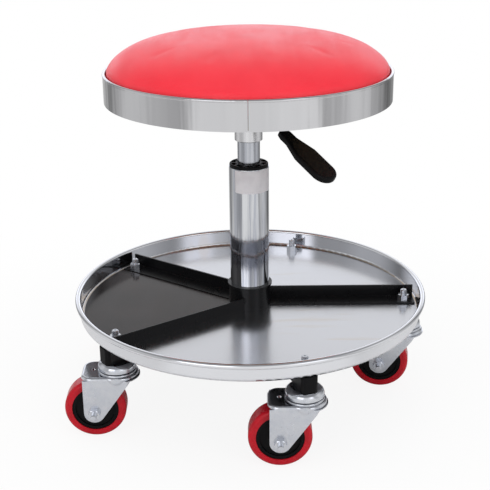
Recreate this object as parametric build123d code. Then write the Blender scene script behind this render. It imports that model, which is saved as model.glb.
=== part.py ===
"""Rolling workshop stool: five casters, a round parts tray, a gas-lift column and a padded round seat.

Lengths are millimetres. The origin is on the floor under the column, +Z is up, +X is the
arm that carries caster 0, and the five casters stand every 72 degrees around the column.
"""
from build123d import *
import os
from math import acos, atan2, cos, degrees, hypot, radians, sin, sqrt, tan

# Driving dimensions
caster_count = 5
wheel_diameter = 75.0
tray_radius = 225.0
tray_depth = 22.8
column_diameter = 50.0
column_rise = 186.0
cylinder_diameter = 28.0
cylinder_exposed = 29.0
seat_radius = 175.0
band_height = 35.0
cushion_crown = 42.0
lift_stroke = 120.0
lever_azimuth = -45.0

# Clearances
running_gap = 0.08
soft_gap = 0.3
cut_over = 1.0

# Caster: wheel, fork and swivel bearing
caster_headings = (171.0, 180.0, 180.0, 181.5, 179.7)
caster_trail = 28.0
wheel_width = 27.0
wheel_top_gap = 7.2
tyre_thickness = 9.2
tyre_edge_radius = 5.0
core_rim_width = 24.0
core_rim_thickness = 4.0
core_web_thickness = 20.0
core_boss_radius = 11.0
fork_inner_width = 43.0
fork_sheet = 2.5
fork_end_radius = 12.5
fork_bend_radius = 3.5
fork_nose_radius = 13.0
fork_nose_reach = 42.8
fork_straight_drop = 0.3
fork_flare_drop = 1.5
fork_skirt_radius = 27.3
fork_skirt_drop = 6.5
fork_lip_drop = 4.0
fork_knee_reach = 16.5
fork_hole_radius = 2.8
fork_hole_reach = 29.0
race_boss_radius = 17.0
race_boss_rise = 5.6
race_step_radius = 23.4
race_step_rise = 2.2
race_step_round = 1.8
fork_bulge_radius = 26.0
fork_bulge_drop = 11.0
cup_radius = 23.0
cup_height = 10.3
cup_sheet = 2.5
cup_edge_radius = 8.0
raceway_gap = 3.5
swivel_ball_radius = 2.5
swivel_ball_circle = 12.5
swivel_ball_count = 8
axle_radius = 4.0
axle_hole_gap = 0.1
axle_sleeve_radius = 6.0
bolt_flats = 13.0
bolt_head_height = 5.3
axle_nut_height = 6.5
axle_tail = 6.5
thread_chamfer = 0.8
hex_chamfer = 0.7

# Stem of each caster, bolted up through the arm, the tray and a divider
stem_tray_inset = 25.0
stem_radius = 4.0
stem_head_radius = 7.0
stem_head_height = 3.0
stem_hole_gap = 0.2
stem_above_floor = 16.8
stem_nut_height = 8.0
stem_centre_radius = 1.4
stem_centre_depth = 1.2

# Base arms and hub
arm_width = 20.0
arm_height = 20.0
arm_wall = 1.5
arm_overhang = 13.5
plug_face = 5.5
plug_depth = 6.0
plug_corner_radius = 5.0
plug_edge_radius = 1.2
sleeve_wall = 2.0
sleeve_rise = 30.5
sleeve_lip = 1.5
sleeve_lip_height = 2.5

# Tray, its mat and its dividers
tray_sheet = 1.5
tray_bead_radius = 3.4
tray_corner_radius = 2.9
mat_thickness = 1.0
mat_gap = 0.5
mat_rim_gap = 1.0
angle_flange = 26.0
angle_leg = 16.5
angle_sheet = 2.0
angle_back_edge = 9.0
angle_end_gap = 0.8

# Column tube and its guide bush
column_wall = 1.5
column_drop = 24.0
column_end_wall = 3.0
bush_collar_height = 4.0
bush_collar_inset = 0.8
bush_edge_radius = 1.2
bush_length = 90.0
bush_bore_wall = 2.6
bush_skirt_wall = 2.0
bush_roof = 5.0
bush_pocket_depth = 1.6
bush_pocket_count = 10
bush_pocket_rib = 3.0

# Swivel thrust bearing, rod and piston
rod_radius = 5.0
rod_clip_radius = 8.5
rod_clip_sheet = 1.2
rod_end_tail = 1.6
thrust_washer_radius = 10.5
thrust_washer_bore_gap = 0.4
thrust_washer_sheet = 2.0
thrust_ball_radius = 1.6
thrust_ball_circle = 8.0
thrust_ball_count = 8
cage_sheet = 1.4
cage_ball_gap = 0.15
rod_collar_radius = 8.0
rod_collar_height = 3.0
buffer_radius = 10.5
buffer_height = 12.0
piston_height = 12.0
piston_margin = 4.0
piston_groove_height = 2.4
piston_groove_depth = 1.0

# Gas cylinder and its release valve
cylinder_wall = 2.0
gland_height = 18.0
valve_body_height = 40.0
valve_pin_radius = 3.0
valve_pin_rise = 4.0
valve_pin_length = 30.0
valve_pin_dome = 1.4

# Seat socket, mounting plate and release lever
socket_wall = 3.25
socket_height = 51.7
cylinder_seat_depth = 30.0
plate_side = 160.0
plate_sheet = 3.0
plate_corner_radius = 14.0
plate_screw_spacing = 120.0
screw_radius = 3.0
screw_flats = 10.0
screw_head_height = 4.0
screw_depth = 10.0
slot_gap = 0.7
slot_base_gap = 1.0
slot_top_gap = 2.0
lever_sheet = 4.0
lever_height = 12.0
lever_inner_reach = 5.0
lever_seat_gap = 0.2
lever_bend_reach = 40.0
pivot_reach = 26.0
pivot_radius = 2.5
ear_sheet = 2.5
ear_side_gap = 0.4
ear_reach = 7.0
ear_below_pivot = 6.5
pivot_tail = 1.2
paddle_root_reach = 56.8
paddle_root_drop = 21.3
paddle_slope = 29.0
paddle_length = 90.6
paddle_thickness = 9.0
paddle_root_width = 13.0
paddle_shoulder_at = 6.0
paddle_neck_width = 17.0
paddle_neck_length = 17.0
paddle_wide_at = 42.0
paddle_width = 33.0
paddle_edge_radius = 3.0
lever_tang_length = 36.0
lever_tang_height = 5.0
lever_tang_setback = 6.0

# Seat board, cushion and band
board_thickness = 12.0
cover_skin = 1.2
band_sheet = 1.2
band_bead_radius = 2.0
band_bead_proud = 0.5
band_flange = 6.0
band_seam_width = 0.5
band_seam_azimuth = -90.0
neck_inset = 0.8
neck_below_bead = 4.5
shoulder_gap = 1.0
dome_radius_shares = (0.585, 0.845, 0.955)
dome_height_shares = (0.885, 0.585, 0.275)

# Heights worked out from the floor up
axle_height = wheel_diameter / 2
fork_ceiling = wheel_diameter + wheel_top_gap
fork_top = fork_ceiling + fork_sheet
cup_bottom = fork_top + raceway_gap
arm_bottom = cup_bottom + cup_height
arm_top = arm_bottom + arm_height
tray_floor = arm_top + tray_sheet
bead_height = tray_floor + tray_depth - tray_bead_radius
column_bottom = arm_bottom - column_drop
column_top = tray_floor + column_rise
bush_top = column_top + bush_collar_height
socket_bottom = bush_top + cylinder_exposed
plate_bottom = socket_bottom + socket_height
board_bottom = plate_bottom + plate_sheet
board_top = board_bottom + board_thickness
band_bottom = board_bottom - band_sheet
band_top = band_bottom + band_height
crown_top = band_top + cushion_crown

# Radii that several pieces share
caster_circle_radius = tray_radius - stem_tray_inset
column_radius = column_diameter / 2
column_bore = column_radius - column_wall
cylinder_radius = cylinder_diameter / 2
cylinder_bore = cylinder_radius - cylinder_wall
sleeve_radius = column_radius + sleeve_wall
fork_half_outer = fork_inner_width / 2 + fork_sheet
tyre_bore = wheel_diameter / 2 - tyre_thickness
tray_wall_inner = tray_radius - 2 * tray_bead_radius
tray_wall_outer = tray_wall_inner + tray_sheet
tray_flat_radius = tray_wall_inner - tray_corner_radius
band_outer_wall = seat_radius - band_bead_proud
band_inner_wall = band_outer_wall - band_sheet
bead_inner = seat_radius - 2 * band_bead_radius
board_radius = band_inner_wall - cover_skin

# Heights of the stack inside the column
thrust_floor = column_bottom + column_end_wall
thrust_ball_height = thrust_floor + thrust_washer_sheet + thrust_ball_radius
upper_washer_bottom = thrust_ball_height + thrust_ball_radius + soft_gap
collar_bottom = upper_washer_bottom + thrust_washer_sheet
buffer_bottom = collar_bottom + rod_collar_height
cylinder_bottom = buffer_bottom + buffer_height + soft_gap
cylinder_top = socket_bottom + cylinder_seat_depth
piston_bottom = cylinder_bottom + gland_height + lift_stroke + piston_margin
valve_pin_top = cylinder_top + valve_pin_rise
lever_bottom = valve_pin_top + lever_seat_gap
pivot_height = lever_bottom + lever_height / 2


def polar(radius, angle):
    """Point in plan at a radius and an azimuth in degrees."""
    return (radius * cos(radians(angle)), radius * sin(radians(angle)))


def save(node, *pieces):
    """Write one node: a single solid, or a group of identical separate ones."""
    solids = [solid for piece in pieces for solid in piece.solids()]
    shape = solids[0] if len(solids) == 1 else Compound(solids)
    export_step(shape, f"parts/{node}.step")


def tube(outer, inner, low, high):
    """Upright round tube, or a rod when inner is zero."""
    section = Circle(outer) - Circle(inner) if inner else Circle(outer)
    return Pos(0, 0, low) * extrude(section, high - low)


def turned(face):
    """Revolve a face drawn in radius and height around the vertical axis."""
    return revolve(Plane.XZ * face, Axis.Z)


def block(x_low, x_high, y_low, y_high, z_low, z_high):
    """Box between two corners."""
    size = (x_high - x_low, y_high - y_low, z_high - z_low)
    centre = ((x_low + x_high) / 2, (y_low + y_high) / 2, (z_low + z_high) / 2)
    return Pos(*centre) * Box(*size)


def hex_prism(flats, low, high, chamfered):
    """Upright hexagon, with its corners turned off on the faces listed in chamfered."""
    corner = flats / sqrt(3)
    prism = Pos(0, 0, low) * extrude(RegularPolygon(corner, 6), high - low)
    rim = flats / 2
    drop = hex_chamfer
    points = [(0, low), (corner, low), (corner, high), (0, high)]
    if "top" in chamfered:
        points[2:3] = [(corner, high - drop), (rim, high)]
    if "bottom" in chamfered:
        points[1:2] = [(rim, low), (corner, low + drop)]
    return prism & turned(make_face(Polyline(*points, close=True)))


def around(shape, angles=None):
    """Copies of a shape turned to the arm azimuths."""
    step = 360 / caster_count
    turns = [step * index for index in range(caster_count)] if angles is None else angles
    return [Rot(0, 0, angle) * shape for angle in turns]


def stem_places():
    """Locations of the caster stems, with each caster's own heading."""
    step = 360 / caster_count
    places = []
    for index in range(caster_count):
        x, y = polar(caster_circle_radius, step * index)
        places.append(Pos(x, y, 0) * Rot(0, 0, caster_headings[index % len(caster_headings)]))
    return places


def along_lever(shape):
    """Place a shape drawn with +X outwards along the lever."""
    return Rot(0, 0, lever_azimuth) * shape


# Base: arms, plugs, hub sleeve
def base_arm():
    reach = caster_circle_radius + arm_overhang
    half = arm_width / 2
    outer = block(0, reach, -half, half, arm_bottom, arm_top)
    bore = block(0, reach + cut_over, arm_wall - half, half - arm_wall,
                 arm_bottom + arm_wall, arm_top - arm_wall)
    stem_hole = Pos(caster_circle_radius, 0, 0) * tube(stem_radius + stem_hole_gap, 0,
                                                       arm_bottom - cut_over, arm_top + cut_over)
    hub = tube(sleeve_radius, 0, arm_bottom - cut_over, arm_top + cut_over)
    return outer - bore - stem_hole - hub


def arm_plug():
    reach = caster_circle_radius + arm_overhang
    half = arm_width / 2
    face = block(reach, reach + plug_face, -half, half, arm_bottom, arm_top)
    face = fillet(face.edges().filter_by(Axis.Z).group_by(Axis.X)[-1], plug_corner_radius)
    face = fillet(face.faces().filter_by(Axis.Z).sort_by(Axis.Z)[-1].edges().group_by(Axis.X)[-1],
                  plug_edge_radius)
    insert = block(reach - plug_depth, reach, arm_wall - half, half - arm_wall,
                   arm_bottom + arm_wall, arm_top - arm_wall)
    return face + insert


def hub_sleeve():
    top = tray_floor + sleeve_rise
    body = tube(sleeve_radius, column_radius, arm_bottom, top)
    lip = tube(sleeve_radius + sleeve_lip, column_radius, top - sleeve_lip_height, top)
    return body + lip


# Tray, mat and dividers
def tray():
    floor_low = tray_floor - tray_sheet
    outer_corner = tray_corner_radius + tray_sheet
    corner_height = tray_floor + tray_corner_radius
    middle = sin(radians(45))
    edges = [
        Line((sleeve_radius, floor_low), (tray_flat_radius, floor_low)),
        ThreePointArc((tray_flat_radius, floor_low),
                      (tray_flat_radius + outer_corner * middle, corner_height - outer_corner * middle),
                      (tray_wall_outer, corner_height)),
        Line((tray_wall_outer, corner_height), (tray_wall_outer, bead_height)),
        Line((tray_wall_outer, bead_height), (tray_wall_inner, bead_height)),
        Line((tray_wall_inner, bead_height), (tray_wall_inner, corner_height)),
        ThreePointArc((tray_wall_inner, corner_height),
                      (tray_flat_radius + tray_corner_radius * middle,
                       corner_height - tray_corner_radius * middle),
                      (tray_flat_radius, tray_floor)),
        Line((tray_flat_radius, tray_floor), (sleeve_radius, tray_floor)),
        Line((sleeve_radius, tray_floor), (sleeve_radius, floor_low)),
    ]
    bead = Pos(tray_radius - tray_bead_radius, bead_height) * Circle(tray_bead_radius)
    pan = turned(make_face(edges) + bead)
    hole = Pos(caster_circle_radius, 0, 0) * tube(stem_radius + stem_hole_gap, 0,
                                                  floor_low - cut_over, tray_floor + cut_over)
    for cut in around(hole):
        pan -= cut
    return pan


def divider(mirrored):
    """Angle strip from the hub to the tray wall; its bolt hole is on the arm's centre line."""
    side = -1 if mirrored else 1
    leg_face = angle_flange - angle_back_edge
    end = sqrt(tray_flat_radius ** 2 - leg_face ** 2) - angle_end_gap
    low, high = tray_floor, tray_floor + angle_leg
    flange = block(0, end, -angle_back_edge, leg_face, low, low + angle_sheet)
    leg = block(0, end, leg_face - angle_sheet, leg_face, low, high)
    strip = flange + leg
    strip -= tube(sleeve_radius, 0, low - cut_over, high + cut_over)
    strip -= Pos(caster_circle_radius, 0, 0) * tube(stem_radius + stem_hole_gap, 0,
                                                    low - cut_over, high + cut_over)
    return strip if side > 0 else mirror(strip, Plane.XZ)


def tray_mat(start, stop):
    """Flat liner of the section between two dividers, kept clear of their flanges."""
    mid = (start + stop) / 2
    reach = tray_flat_radius - mat_rim_gap
    disc = tube(reach, sleeve_radius + mat_gap, tray_floor, tray_floor + mat_thickness)
    edge = angle_back_edge + mat_gap
    far = tray_radius
    low, high = tray_floor - cut_over, tray_floor + mat_thickness + cut_over
    keep_start = Rot(0, 0, start) * block(-far, far, edge, 2 * far, low, high)
    keep_stop = Rot(0, 0, stop) * block(-far, far, -2 * far, -edge, low, high)
    ahead = Rot(0, 0, mid) * block(0, 2 * far, -far, far, low, high)
    return disc & keep_start & keep_stop & ahead


# Column: tube, bush, thrust bearing
def column_tube():
    wall = tube(column_radius, column_bore, column_bottom, column_top)
    end = tube(column_bore, rod_radius + running_gap, column_bottom, thrust_floor)
    return wall + end


def guide_bush():
    bore = cylinder_radius + running_gap
    low = column_top - bush_length
    roof = column_top - bush_roof
    collar_radius = column_radius - bush_collar_inset
    collar = tube(collar_radius, bore, column_top, bush_top)
    rim = collar.edges().group_by(Axis.Z)[-1].sort_by(SortBy.RADIUS)[-1]
    collar = fillet(rim, bush_edge_radius)
    body = tube(column_bore, bore, low, column_top)
    hollow = tube(column_bore - bush_skirt_wall, bore + bush_bore_wall, low - cut_over, roof)
    pocket_outer = collar_radius - bush_skirt_wall
    pocket_inner = bore + bush_bore_wall
    pocket = tube(pocket_outer, pocket_inner, bush_top - bush_pocket_depth, bush_top + cut_over)
    half = bush_pocket_rib / 2
    for index in range(bush_pocket_count):
        rib = block(0, column_radius, -half, half, bush_top - bush_pocket_depth, bush_top + cut_over)
        pocket -= Rot(0, 0, 360 / bush_pocket_count * index) * rib
    return collar + body - hollow - pocket


def ball_ring(radius, circle, height, count):
    """Separate balls evenly spaced on a circle."""
    balls = []
    for index in range(count):
        x, y = polar(circle, 360 / count * index)
        balls.append(Pos(x, y, height) * Sphere(radius))
    return balls


def thrust_cage():
    low = thrust_ball_height - cage_sheet / 2
    high = thrust_ball_height + cage_sheet / 2
    cage = tube(thrust_washer_radius, rod_radius + thrust_washer_bore_gap, low, high)
    for index in range(thrust_ball_count):
        x, y = polar(thrust_ball_circle, 360 / thrust_ball_count * index)
        cage -= Pos(x, y, 0) * tube(thrust_ball_radius + cage_ball_gap, 0, low - cut_over, high + cut_over)
    return cage


def piston_rod():
    rod_low = column_bottom - soft_gap - rod_clip_sheet - rod_end_tail
    rod = tube(rod_radius, 0, rod_low, piston_bottom + piston_height)
    rod = chamfer(rod.edges().sort_by(Axis.Z)[0], thread_chamfer)
    collar = tube(rod_collar_radius, 0, collar_bottom, buffer_bottom)
    return rod + collar


def piston():
    body = tube(cylinder_bore - running_gap, rod_radius, piston_bottom, piston_bottom + piston_height)
    groove_low = piston_bottom + (piston_height - piston_groove_height) / 2
    groove = tube(cylinder_bore, cylinder_bore - piston_groove_depth - running_gap,
                  groove_low, groove_low + piston_groove_height)
    return body - groove


# Seat side of the gas spring
def valve_pin():
    low = valve_pin_top - valve_pin_length
    shoulder = valve_pin_top - valve_pin_dome
    shank = tube(valve_pin_radius, 0, low, shoulder)
    ball_radius = (valve_pin_radius ** 2 + valve_pin_dome ** 2) / (2 * valve_pin_dome)
    cap = Pos(0, 0, valve_pin_top - ball_radius) * Sphere(ball_radius)
    cap &= tube(valve_pin_radius, 0, shoulder, valve_pin_top)
    return shank + cap


def seat_socket():
    outer = cylinder_radius + socket_wall
    half = lever_sheet / 2 + slot_gap
    collar = tube(outer, cylinder_radius, socket_bottom, plate_bottom)
    slot = block(0, outer + cut_over, -half, half, cylinder_top + slot_base_gap,
                 plate_bottom - slot_top_gap)
    collar -= along_lever(slot)
    rim = collar.edges().filter_by(GeomType.CIRCLE).group_by(Axis.Z)[0].sort_by(SortBy.RADIUS)[-1]
    return chamfer(rim, hex_chamfer)


def seat_plate():
    plate = extrude(RectangleRounded(plate_side, plate_side, plate_corner_radius), plate_sheet)
    plate = Pos(0, 0, plate_bottom) * plate
    for x, y in screw_places():
        plate -= Pos(x, y, 0) * tube(screw_radius + axle_hole_gap, 0,
                                     plate_bottom - cut_over, board_bottom + cut_over)
    return plate


def screw_places():
    half = plate_screw_spacing / 2
    return [(x, y) for x in (-half, half) for y in (-half, half)]


def seat_screw():
    head = hex_prism(screw_flats, plate_bottom - screw_head_height, plate_bottom, ("bottom",))
    shank = tube(screw_radius, 0, plate_bottom, board_bottom + screw_depth)
    return head + shank


# Release lever
def band_outline(points, half_heights):
    """Outline of a strip that follows points in the lever's plane, mitred at each bend."""
    upper, lower = [], []
    for index, (x, z) in enumerate(points):
        before = points[max(index - 1, 0)]
        after = points[min(index + 1, len(points) - 1)]
        first = atan2(z - before[1], x - before[0]) if index else None
        last = atan2(after[1] - z, after[0] - x) if index < len(points) - 1 else None
        first = last if first is None else first
        last = first if last is None else last
        mean = (first + last) / 2
        reach = half_heights[index] / cos((last - first) / 2)
        upper.append((x - reach * sin(mean), z + reach * cos(mean)))
        lower.append((x + reach * sin(mean), z - reach * cos(mean)))
    return make_face(Polyline(*upper, *reversed(lower), close=True))


def paddle_place():
    """Plane with its X along the paddle and its Z square to the paddle's face."""
    tilt = radians(paddle_slope)
    origin = (paddle_root_reach, 0, pivot_height - paddle_root_drop)
    return Plane(origin=origin, x_dir=(cos(tilt), 0, -sin(tilt)), z_dir=(sin(tilt), 0, cos(tilt)))


def lever_arm():
    tilt = radians(paddle_slope)
    root = (paddle_root_reach, pivot_height - paddle_root_drop)
    start = (root[0] + lever_tang_setback * cos(tilt), root[1] - lever_tang_setback * sin(tilt))
    end = (root[0] + lever_tang_length * cos(tilt), root[1] - lever_tang_length * sin(tilt))
    bend = (lever_bend_reach, pivot_height)
    inner = (-lever_inner_reach, pivot_height)
    half = lever_height / 2
    tang = lever_tang_height / 2
    outline = band_outline([inner, bend, start, end], [half, half, tang, tang])
    arm = extrude(Plane.XZ * outline, lever_sheet / 2, both=True)
    pivot = Pos(pivot_reach, 0, pivot_height) * Rot(90, 0, 0)
    arm -= pivot * Cylinder(pivot_radius + running_gap, lever_sheet + 2 * cut_over)
    return arm


def lever_paddle(arm):
    root = paddle_root_width / 2
    neck = paddle_neck_width / 2
    wide = paddle_width / 2
    tip_start = paddle_length - wide
    edges = [
        Line((0, -root), (paddle_shoulder_at, -neck)),
        Line((paddle_shoulder_at, -neck), (paddle_neck_length, -neck)),
        Line((paddle_neck_length, -neck), (paddle_wide_at, -wide)),
        Line((paddle_wide_at, -wide), (tip_start, -wide)),
        ThreePointArc((tip_start, -wide), (paddle_length, 0), (tip_start, wide)),
        Line((tip_start, wide), (paddle_wide_at, wide)),
        Line((paddle_wide_at, wide), (paddle_neck_length, neck)),
        Line((paddle_neck_length, neck), (paddle_shoulder_at, neck)),
        Line((paddle_shoulder_at, neck), (0, root)),
        Line((0, root), (0, -root)),
    ]
    body = extrude(make_face(edges), paddle_thickness / 2, both=True)
    rims = body.edges().group_by(Axis.Z)
    body = fillet(rims[0] + rims[-1], paddle_edge_radius)
    return paddle_place() * body - arm


def lever_ears():
    near = lever_sheet / 2 + ear_side_gap
    ears = []
    for side in (-1, 1):
        faces = sorted((side * near, side * (near + ear_sheet)))
        ear = block(pivot_reach - ear_reach, pivot_reach + ear_reach, faces[0], faces[1],
                    pivot_height - ear_below_pivot, plate_bottom)
        pivot = Pos(pivot_reach, 0, pivot_height) * Rot(90, 0, 0)
        ears.append(ear - pivot * Cylinder(pivot_radius, plate_side))
    return ears


def lever_pin():
    length = lever_sheet + 2 * (ear_side_gap + ear_sheet + pivot_tail)
    return Pos(pivot_reach, 0, pivot_height) * Rot(90, 0, 0) * Cylinder(pivot_radius, length)


# Seat: board, foam, cover and band
def cushion_points():
    """Outer profile of the cushion above the band, from the crown to the drawn-in neck."""
    hip_radius = bead_inner - neck_inset
    hip_height = band_top + shoulder_gap
    rise = crown_top - hip_height
    points = [(0, crown_top)]
    for radius_share, height_share in zip(dome_radius_shares, dome_height_shares):
        points.append((hip_radius * radius_share, hip_height + rise * height_share))
    points.append((hip_radius, hip_height))
    return points


def cushion_face(inset, bottom):
    """Half section of the cushion, set in by the cover's skin, in tangent arcs."""
    points = cushion_points()
    heading = 0.0
    start = (0, points[0][1] - inset)
    edges = []
    for before, after in zip(points, points[1:]):
        chord = atan2(after[1] - before[1], after[0] - before[0])
        turn = 2 * chord - heading
        end = (after[0] + inset * sin(turn), after[1] - inset * cos(turn))
        edges.append(TangentArc(start, end, tangent=(cos(heading), sin(heading))))
        start, heading = end, turn
    neck = (bead_inner - neck_inset - inset, band_top - 2 * band_bead_radius)
    side = (band_inner_wall - inset, neck[1] - neck_below_bead)
    edges.append(Line(start, neck))
    edges.append(Line(neck, side))
    edges.append(Line(side, (side[0], bottom)))
    edges.append(Line((side[0], bottom), (0, bottom)))
    edges.append(Line((0, bottom), (0, points[0][1] - inset)))
    return make_face(edges)


def seat_foam():
    return turned(cushion_face(cover_skin, board_top))


def seat_cover():
    outer = turned(cushion_face(0, board_bottom))
    inner = turned(cushion_face(cover_skin, board_bottom))
    return outer - inner


def seat_board():
    board = tube(board_radius, 0, board_bottom, board_top)
    for x, y in screw_places():
        board -= Pos(x, y, 0) * tube(screw_radius, 0, board_bottom - cut_over,
                                     board_bottom + screw_depth)
    return board


def seat_band():
    bead_centre = seat_radius - band_bead_radius
    wall_top = band_top - band_bead_radius
    wall = Pos((band_inner_wall + band_outer_wall) / 2, (band_bottom + wall_top) / 2)
    wall = wall * Rectangle(band_sheet, wall_top - band_bottom)
    bead = Pos(bead_centre, wall_top) * Circle(band_bead_radius)
    flange_inner = band_outer_wall - band_flange
    flange = Pos((flange_inner + band_outer_wall) / 2, band_bottom + band_sheet / 2)
    flange = flange * Rectangle(band_flange, band_sheet)
    ring = turned(wall + bead + flange)
    half = band_seam_width / 2
    seam = block(band_outer_wall - band_flange - cut_over, seat_radius + cut_over, -half, half,
                 band_bottom - cut_over, band_top + cut_over)
    return ring - Rot(0, 0, band_seam_azimuth) * seam


# Caster
def fork_side():
    """Side outline that trims the fork: plate and lip above, legs with round ends below."""
    back = caster_trail + fork_end_radius
    end = fork_nose_reach + cut_over
    front = -fork_skirt_radius - cut_over
    top = fork_top + cut_over
    lip = fork_top - fork_lip_drop
    skirt = fork_top - fork_skirt_drop
    knee = (-fork_knee_reach, skirt)
    gap = hypot(knee[0] - caster_trail, knee[1] - axle_height)
    toward = degrees(atan2(knee[1] - axle_height, knee[0] - caster_trail))
    touch_angle = toward + degrees(acos(fork_end_radius / gap))
    x, z = polar(fork_end_radius, touch_angle)
    touch = (caster_trail + x, axle_height + z)
    x, z = polar(fork_end_radius, (touch_angle - 360) / 2)
    low = (caster_trail + x, axle_height + z)
    edges = [
        Line((front, top), (end, top)),
        Line((end, top), (end, lip)),
        Line((end, lip), (back, lip)),
        Line((back, lip), (back, axle_height)),
        ThreePointArc((back, axle_height), low, touch),
        Line(touch, knee),
        Line(knee, (front, skirt)),
        Line((front, skirt), (front, top)),
    ]
    return make_face(edges)


def hood_face(inset, foot):
    """Half section of the round hood in front of the stem: flat top, round bend, flared skirt."""
    half = fork_half_outer - inset
    top = fork_top - inset
    bend = fork_bend_radius - inset
    shoulder = fork_half_outer - fork_bend_radius
    bend_height = fork_top - fork_bend_radius
    flare = atan2(fork_skirt_radius - fork_half_outer, fork_flare_drop)
    shift = inset * tan(flare / 2)
    flare_top = bend_height - fork_straight_drop - shift
    flare_foot = flare_top - fork_flare_drop
    skirt = fork_skirt_radius - inset
    middle = bend * sin(radians(45))
    edges = [
        Line((0, top), (shoulder, top)),
        ThreePointArc((shoulder, top), (shoulder + middle, bend_height + middle), (half, bend_height)),
        Line((half, bend_height), (half, flare_top)),
        Line((half, flare_top), (skirt, flare_foot)),
        Line((skirt, flare_foot), (skirt, foot)),
        Line((skirt, foot), (0, foot)),
        Line((0, foot), (0, top)),
    ]
    return make_face(edges)


def plate_form(inset, low):
    """Top plate behind the stem, with a round nose and round bends at its edges."""
    half = fork_half_outer - inset
    top = fork_top - inset
    reach = fork_nose_reach - inset
    plan = RectangleRounded(2 * reach, 2 * half, fork_nose_radius - inset)
    body = Pos(0, 0, low) * extrude(plan, top - low)
    body = fillet(body.edges().group_by(Axis.Z)[-1], fork_bend_radius - inset)
    side = half + cut_over
    return body & block(0, reach + cut_over, -side, side, low, top)


def fork_form(inset, foot, back):
    """Outside of the drawn sheet, or its inside when set in: round hood, plate and legs."""
    half = fork_half_outer - inset
    top = fork_top - inset
    lip = fork_top - fork_lip_drop
    hood = turned(hood_face(inset, foot))
    hood &= block(-fork_skirt_radius - cut_over, 0, -half, half, foot, top)
    legs = block(0, back, -half, half, foot, lip)
    return hood + plate_form(inset, lip) + legs


def fork_bulge():
    """Round bulge of the race, which stands out over the legs and fades into them."""
    shoulder = fork_bulge_radius - fork_bend_radius
    bend_height = fork_top - fork_bend_radius
    middle = fork_bend_radius * sin(radians(45))
    foot = fork_top - fork_bulge_drop
    edges = [
        Line((0, fork_top), (shoulder, fork_top)),
        ThreePointArc((shoulder, fork_top), (shoulder + middle, bend_height + middle),
                      (fork_bulge_radius, bend_height)),
        Line((fork_bulge_radius, bend_height), (fork_half_outer, foot)),
        Line((fork_half_outer, foot), (0, foot)),
        Line((0, foot), (0, fork_top)),
    ]
    return turned(make_face(edges))


def fork():
    back = caster_trail + fork_end_radius
    foot = axle_height - fork_end_radius - cut_over
    side = extrude(Plane.XZ * fork_side(), fork_half_outer + cut_over, both=True)
    sheet = (fork_form(0, foot, back) + fork_bulge()) & side
    sheet -= fork_form(fork_sheet, foot - cut_over, fork_nose_reach + cut_over)
    step = tube(race_step_radius, 0, fork_ceiling, fork_top + race_step_rise)
    step = fillet(step.edges().group_by(Axis.Z)[-1], race_step_round)
    boss = tube(race_boss_radius, 0, fork_ceiling, fork_top + race_boss_rise)
    boss = fillet(boss.edges().group_by(Axis.Z)[-1], fork_sheet)
    recess = tube(race_boss_radius - fork_sheet, 0, fork_ceiling - cut_over,
                  fork_top + race_boss_rise - fork_sheet)
    stem_hole = tube(stem_radius + running_gap, 0, fork_ceiling, fork_top + race_boss_rise + cut_over)
    nose_hole = Pos(fork_hole_reach, 0, 0) * tube(fork_hole_radius, 0, fork_ceiling - cut_over,
                                                  fork_top + cut_over)
    axle_hole = Pos(caster_trail, 0, axle_height) * Rot(90, 0, 0)
    axle_hole = axle_hole * Cylinder(axle_radius + axle_hole_gap, 2 * fork_inner_width)
    return sheet + step + boss - recess - stem_hole - nose_hole - axle_hole


def bearing_cup():
    body = tube(cup_radius, stem_radius, cup_bottom, arm_bottom)
    body = fillet(body.edges().group_by(Axis.Z)[-1].sort_by(SortBy.RADIUS)[-1], cup_edge_radius)
    inside = tube(cup_radius - cup_sheet, stem_radius, cup_bottom - cut_over, arm_bottom - cup_sheet)
    inside = fillet(inside.edges().group_by(Axis.Z)[-1].sort_by(SortBy.RADIUS)[-1],
                    cup_edge_radius - cup_sheet)
    return body - inside


def stem():
    roof = fork_top + race_boss_rise - fork_sheet - soft_gap
    top = tray_floor + stem_above_floor
    head = tube(stem_head_radius, 0, roof - stem_head_height, roof)
    shank = tube(stem_radius, 0, roof, top)
    shank = chamfer(shank.edges().sort_by(Axis.Z)[-1], thread_chamfer)
    centre = tube(stem_centre_radius, 0, top - stem_centre_depth, top + cut_over)
    return head + shank - centre


def stem_nut(on_divider):
    seat = tray_floor + (angle_sheet if on_divider else 0)
    nut = hex_prism(bolt_flats, seat, seat + stem_nut_height, ("top",))
    return nut - tube(stem_radius, 0, seat - cut_over, seat + stem_nut_height + cut_over)


def across_axle(shape):
    """Lay a shape drawn around Z onto the wheel's axle."""
    return Pos(caster_trail, 0, axle_height) * Rot(90, 0, 0) * shape


def tyre():
    half = wheel_width / 2
    edge = tyre_edge_radius
    radius = wheel_diameter / 2
    bulge = edge * (1 - sin(radians(45)))
    edges = [
        Line((tyre_bore, -half), (radius - edge, -half)),
        ThreePointArc((radius - edge, -half), (radius - bulge, bulge - half), (radius, edge - half)),
        Line((radius, edge - half), (radius, half - edge)),
        ThreePointArc((radius, half - edge), (radius - bulge, half - bulge), (radius - edge, half)),
        Line((radius - edge, half), (tyre_bore, half)),
        Line((tyre_bore, half), (tyre_bore, -half)),
    ]
    return across_axle(turned(make_face(edges)))


def wheel_core():
    bore = axle_sleeve_radius + running_gap
    rim = core_rim_width / 2
    web = core_web_thickness / 2
    boss = fork_inner_width / 2 - soft_gap
    rim_tube = tube(tyre_bore, tyre_bore - core_rim_thickness, -rim, rim)
    web_disc = tube(tyre_bore - core_rim_thickness, bore, -web, web)
    boss_tube = tube(core_boss_radius, bore, -boss, boss)
    return across_axle(rim_tube + web_disc + boss_tube)


def axle_sleeve():
    half = fork_inner_width / 2
    return across_axle(tube(axle_sleeve_radius, axle_radius, -half, half))


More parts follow.
